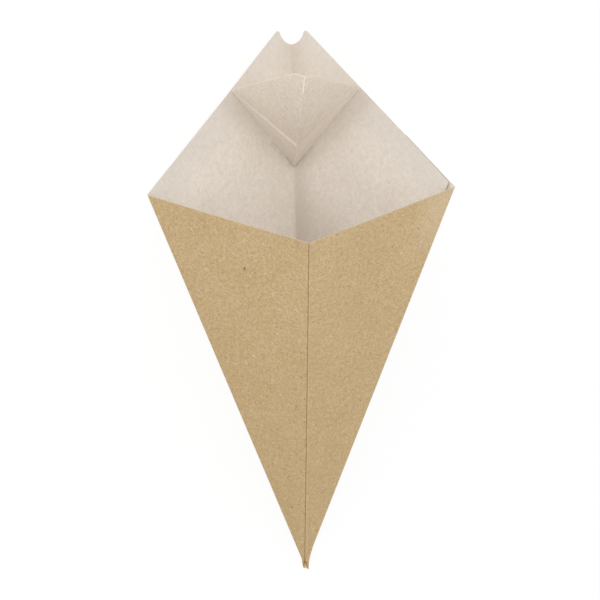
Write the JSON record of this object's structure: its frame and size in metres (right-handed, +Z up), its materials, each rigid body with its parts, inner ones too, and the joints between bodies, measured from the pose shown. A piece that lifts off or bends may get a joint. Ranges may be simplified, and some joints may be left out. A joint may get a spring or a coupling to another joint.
{
  "type": "paper food cone",
  "caption": "Open four-sided cone of folded brown board, with a thumb notch and a dip pocket glued inside its mouth, lying on its side.",
  "frame": {"origin": "middle of the bounding box's base, on the surface that the cone lies on", "axes": "+Z up, away from the surface; +Y from the tip towards the mouth, along the cone's axis as seen from above; +X to the right of that, seen from above"},
  "size_m": [0.1194, 0.2646, 0.0803],
  "materials": {
    "brown_board": "matt unbleached board outside, pale cream lining inside",
    "cream_board": "matt pale cream lining side of the same board"
  },
  "bodies": {
    "root": {"paper_cone": "brown_board", "dip_pocket": "cream_board"}
  },
  "joints": []
}
